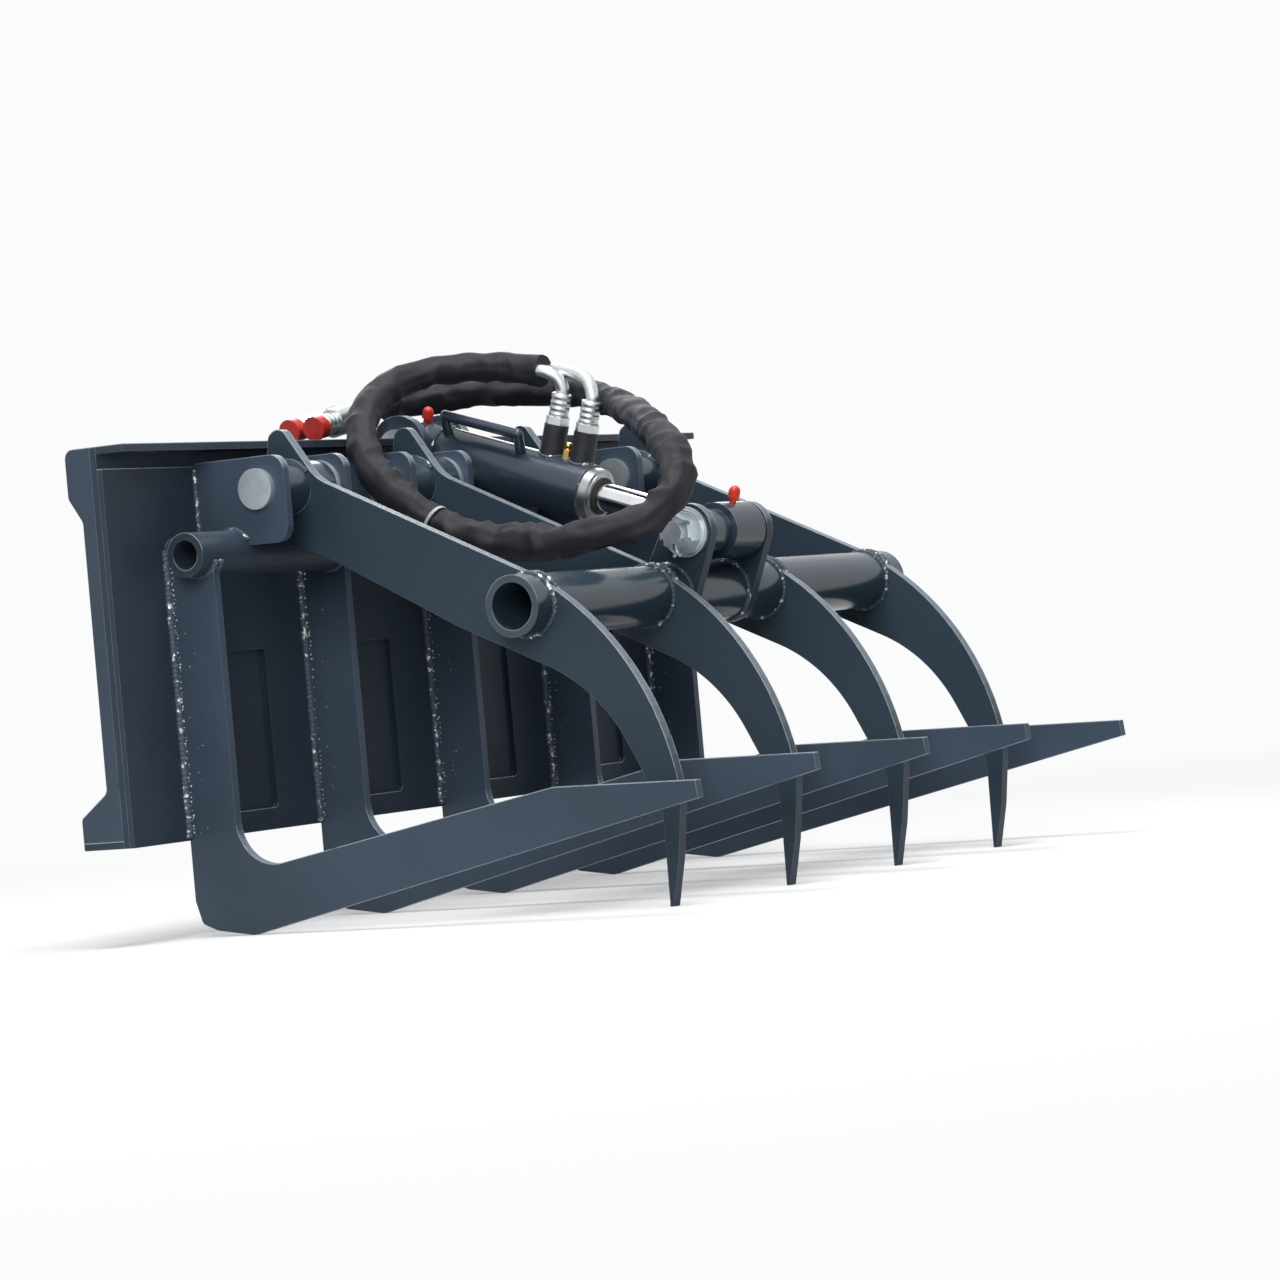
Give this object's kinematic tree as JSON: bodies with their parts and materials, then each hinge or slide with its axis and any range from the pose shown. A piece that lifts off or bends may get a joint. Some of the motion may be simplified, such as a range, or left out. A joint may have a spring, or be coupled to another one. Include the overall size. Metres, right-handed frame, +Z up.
{
  "type": "log grapple",
  "caption": "Skid-steer log grapple with fixed lower tines on a quick-attach plate and a hinged jaw of hooked arms driven by one hydraulic cylinder.",
  "frame": {"origin": "on the ground under the middle of the grapple's footprint, with the tine heels and the closed arm points on the ground", "axes": "+Z up, tines point to -Y, the quick-attach face looks to +Y, the width runs along X"},
  "size_m": [1.13, 0.711, 0.6175],
  "materials": {
    "frame_paint": "satin slate-blue paint over steel plate, chipped at cut edges",
    "jaw_paint": "satin slate-blue paint over steel plate, bright at worn edges",
    "cylinder_paint": "semi-gloss slate-blue paint over steel tube",
    "zinc_steel": "zinc plate, satin",
    "machined_steel": "turned steel",
    "chromed_rod": "ground hard chrome",
    "bronze": "plain bearing bronze",
    "black_steel": "black oxide",
    "black_rubber": "matt black hose rubber",
    "woven_sleeve": "woven nylon protective sleeve, wrinkled",
    "red_cap": "moulded plastic"
  },
  "bodies": {
    "frame": {"back_sheet": "frame_paint", "quick_attach_plate": "frame_paint", "bottom_flange": "frame_paint", "top_hook": "frame_paint", "top_lip": "frame_paint", "end_gussets": "frame_paint", "tine_1": "frame_paint", "tine_2": "frame_paint", "tine_3": "frame_paint", "tine_4": "frame_paint", "tine_5": "frame_paint", "top_tube": "frame_paint", "ear_pair_1": "frame_paint", "ear_pair_2": "frame_paint", "ear_pair_3": "frame_paint", "ear_pair_4": "frame_paint", "hinge_pin_1": "zinc_steel", "hinge_pin_2": "zinc_steel", "hinge_pin_3": "zinc_steel", "hinge_pin_4": "zinc_steel", "thrust_washers": "zinc_steel", "hinge_end_washers": "zinc_steel", "hinge_split_pins": "zinc_steel", "rear_lug_near": "frame_paint", "rear_lug_far": "frame_paint", "rear_pin": "zinc_steel", "rear_circlip": "zinc_steel", "coupler_hoses": "black_rubber", "quick_couplers": "zinc_steel", "dust_caps": "red_cap"},
    "jaw": {"arm_1": "jaw_paint", "arm_2": "jaw_paint", "arm_3": "jaw_paint", "arm_4": "jaw_paint", "pivot_bosses": "jaw_paint", "cross_tube": "jaw_paint", "clevis_lug_near": "jaw_paint", "clevis_lug_far": "jaw_paint", "clevis_spacer": "jaw_paint", "hinge_bushings": "bronze", "clevis_pin": "zinc_steel", "clevis_washers": "zinc_steel", "clevis_castle_nut": "zinc_steel", "clevis_split_pin": "zinc_steel"},
    "barrel": {"barrel": "cylinder_paint", "barrel_cap": "cylinder_paint", "rear_eye": "cylinder_paint", "gland": "machined_steel", "rod_wiper": "black_rubber", "port_bosses": "black_steel", "hard_line": "cylinder_paint", "rear_grease_nipple": "red_cap", "hose_fittings": "zinc_steel", "hose_elbows": "zinc_steel", "hose_sleeve": "woven_sleeve"},
    "rod": {"piston_rod": "chromed_rod", "piston": "machined_steel", "rod_eye": "cylinder_paint", "front_grease_nipple": "red_cap"},
    "collar": {"coupler_collar": "zinc_steel"}
  },
  "joints": [
    {"name": "jaw_hinge", "type": "hinge", "parent": "frame", "child": "jaw", "pos_m": [0, 0.2025, 0.472], "axis": [-1, 0, 0], "range_deg": [0, 50]},
    {"name": "barrel_swing", "type": "hinge", "parent": "frame", "child": "barrel", "pos_m": [0, 0.2745, 0.517], "axis": [-1, 0, 0], "range_deg": [0, 41.82], "deforming": ["hose_sleeve"]},
    {"name": "rod_slide", "type": "slide", "parent": "barrel", "child": "rod", "axis": [0, 0.9522, 0.3055], "range_m": [0, 0.0385]},
    {"name": "collar_slide", "type": "slide", "parent": "frame", "child": "collar", "axis": [0.9848, 0, 0.1736], "range_m": [0, 0.008], "stiffness_N_per_m": 200}
  ],
  "couplings": [
    {"joint": "barrel_swing", "follows": "jaw_hinge", "ratio": 0.8263},
    {"joint": "rod_slide", "follows": "jaw_hinge", "m_per_rad": 0.04296}
  ]
}
